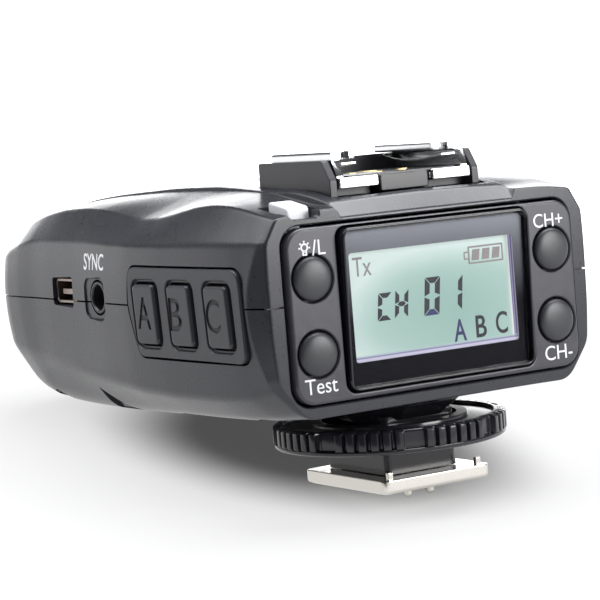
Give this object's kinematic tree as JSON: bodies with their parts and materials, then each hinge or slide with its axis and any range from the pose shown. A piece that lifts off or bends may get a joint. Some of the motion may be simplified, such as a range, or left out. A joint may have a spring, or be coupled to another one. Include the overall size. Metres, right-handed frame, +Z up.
{
  "type": "wireless flash trigger",
  "caption": "Camera-top radio flash trigger with LCD, side keys, hot shoe on top and a locking shoe foot below.",
  "frame": {"origin": "centre of the shoe foot's stem, on the underside of the foot plate", "axes": "+Y runs from the LCD face to the rear end, along the way the foot slides into a camera's shoe; +Z is up, from the foot to the hot shoe; +X is to the right of someone facing the LCD"},
  "size_m": [0.0615, 0.094, 0.0506],
  "materials": {
    "case_plastic": "fine satin texture, charcoal black",
    "panel_plastic": "fine satin texture, dark grey",
    "bezel_gloss": "polished black",
    "window": "clear window with a black printed border",
    "lcd": "pale green reflective display with dark segments",
    "diffuser": "white light guide",
    "button_rubber": "satin dark grey domes",
    "keypad_plastic": "satin dark grey, sunk letters",
    "board": "green solder mask",
    "switch_steel": "plated steel",
    "black_plastic": "satin black",
    "stem_plastic": "gloss black",
    "knob_plastic": "milky white translucent",
    "shoe_chrome": "bright chrome sheet",
    "nickel": "nickel plated",
    "contact_gold": "plated brass",
    "cell": "printed sleeve"
  },
  "bodies": {
    "housing": {"top_case": "case_plastic", "bottom_case": "case_plastic", "front_panel": "panel_plastic", "lcd_bezel": "bezel_gloss", "lcd_window": "window", "lcd_module": "lcd", "lcd_backlight": "diffuser", "keypad_frame": "keypad_plastic", "ui_pcb": "board", "key_pcb": "board", "main_pcb": "board", "switch_backlight": "switch_steel", "switch_test": "switch_steel", "switch_channel_up": "switch_steel", "switch_channel_down": "switch_steel", "power_switch": "switch_steel", "shoe_spring_left": "switch_steel", "shoe_spring_right": "switch_steel", "case_screw_1": "switch_steel", "case_screw_2": "switch_steel", "case_screw_3": "switch_steel", "case_screw_4": "switch_steel", "usb_socket": "switch_steel", "sync_jack": "black_plastic", "shoe_bracket": "black_plastic", "shoe_insert": "black_plastic", "foot_stem": "stem_plastic", "shoe_rail": "shoe_chrome", "foot_plate": "nickel", "battery_contact_front": "nickel", "battery_contact_rear_1": "nickel", "battery_contact_rear_2": "nickel", "shoe_contact_main": "contact_gold", "shoe_contact_1": "contact_gold", "shoe_contact_2": "contact_gold", "shoe_contact_3": "contact_gold", "shoe_contact_4": "contact_gold", "antenna_coil": "contact_gold", "battery_cell_1": "cell", "battery_cell_2": "cell"},
    "button_backlight_body": {"button_backlight": "button_rubber"},
    "button_test_body": {"button_test": "button_rubber"},
    "button_channel_up_body": {"button_channel_up": "button_rubber"},
    "button_channel_down_body": {"button_channel_down": "button_rubber"},
    "key_a_body": {"key_a": "keypad_plastic"},
    "key_b_body": {"key_b": "keypad_plastic"},
    "key_c_body": {"key_c": "keypad_plastic"},
    "foot_contact_main_body": {"foot_contact_main": "contact_gold"},
    "foot_contact_1_body": {"foot_contact_1": "contact_gold"},
    "foot_contact_2_body": {"foot_contact_2": "contact_gold"},
    "foot_contact_3_body": {"foot_contact_3": "contact_gold"},
    "foot_contact_4_body": {"foot_contact_4": "contact_gold"},
    "power_knob_body": {"power_knob": "knob_plastic"},
    "door_body": {"battery_door": "case_plastic"},
    "clamp_body": {"pressure_washer": "switch_steel", "lock_pin": "switch_steel"},
    "wheel_body": {"lock_wheel": "black_plastic"}
  },
  "joints": [
    {"name": "button_backlight_press", "type": "slide", "parent": "housing", "child": "button_backlight_body", "axis": [0, 1, 0], "range_m": [0, 0.0006], "stiffness_N_per_m": 600},
    {"name": "button_test_press", "type": "slide", "parent": "housing", "child": "button_test_body", "axis": [0, 1, 0], "range_m": [0, 0.0006], "stiffness_N_per_m": 600},
    {"name": "button_channel_up_press", "type": "slide", "parent": "housing", "child": "button_channel_up_body", "axis": [0, 1, 0], "range_m": [0, 0.0006], "stiffness_N_per_m": 600},
    {"name": "button_channel_down_press", "type": "slide", "parent": "housing", "child": "button_channel_down_body", "axis": [0, 1, 0], "range_m": [0, 0.0006], "stiffness_N_per_m": 600},
    {"name": "key_a_press", "type": "slide", "parent": "housing", "child": "key_a_body", "axis": [0.9984, 0.0558, 0], "range_m": [0, 0.0008], "stiffness_N_per_m": 600},
    {"name": "key_b_press", "type": "slide", "parent": "housing", "child": "key_b_body", "axis": [0.9984, 0.0558, 0], "range_m": [0, 0.0008], "stiffness_N_per_m": 600},
    {"name": "key_c_press", "type": "slide", "parent": "housing", "child": "key_c_body", "axis": [0.9984, 0.0558, 0], "range_m": [0, 0.0008], "stiffness_N_per_m": 600},
    {"name": "power_knob_slide", "type": "slide", "parent": "housing", "child": "power_knob_body", "axis": [1, 0, 0], "range_m": [0, 0.0016]},
    {"name": "battery_door_slide", "type": "slide", "parent": "housing", "child": "door_body", "axis": [0, 1, 0], "range_m": [0, 0.058]},
    {"name": "clamp_lower", "type": "slide", "parent": "housing", "child": "clamp_body", "axis": [0, 0, -1], "range_m": [0, 0.0019]},
    {"name": "lock_wheel_turn", "type": "hinge", "parent": "clamp_body", "child": "wheel_body", "pos_m": [0, 0, 0.00775], "axis": [0, 0, 1], "range_deg": [0, 548]},
    {"name": "foot_contact_main_press", "type": "slide", "parent": "housing", "child": "foot_contact_main_body", "axis": [0, 0, 1], "range_m": [0, 0.0012], "stiffness_N_per_m": 300},
    {"name": "foot_contact_1_press", "type": "slide", "parent": "housing", "child": "foot_contact_1_body", "axis": [0, 0, 1], "range_m": [0, 0.0012], "stiffness_N_per_m": 300},
    {"name": "foot_contact_2_press", "type": "slide", "parent": "housing", "child": "foot_contact_2_body", "axis": [0, 0, 1], "range_m": [0, 0.0012], "stiffness_N_per_m": 300},
    {"name": "foot_contact_3_press", "type": "slide", "parent": "housing", "child": "foot_contact_3_body", "axis": [0, 0, 1], "range_m": [0, 0.0012], "stiffness_N_per_m": 300},
    {"name": "foot_contact_4_press", "type": "slide", "parent": "housing", "child": "foot_contact_4_body", "axis": [0, 0, 1], "range_m": [0, 0.0012], "stiffness_N_per_m": 300}
  ],
  "couplings": [
    {"joint": "lock_wheel_turn", "follows": "clamp_lower", "rad_per_m": 5026.5}
  ]
}
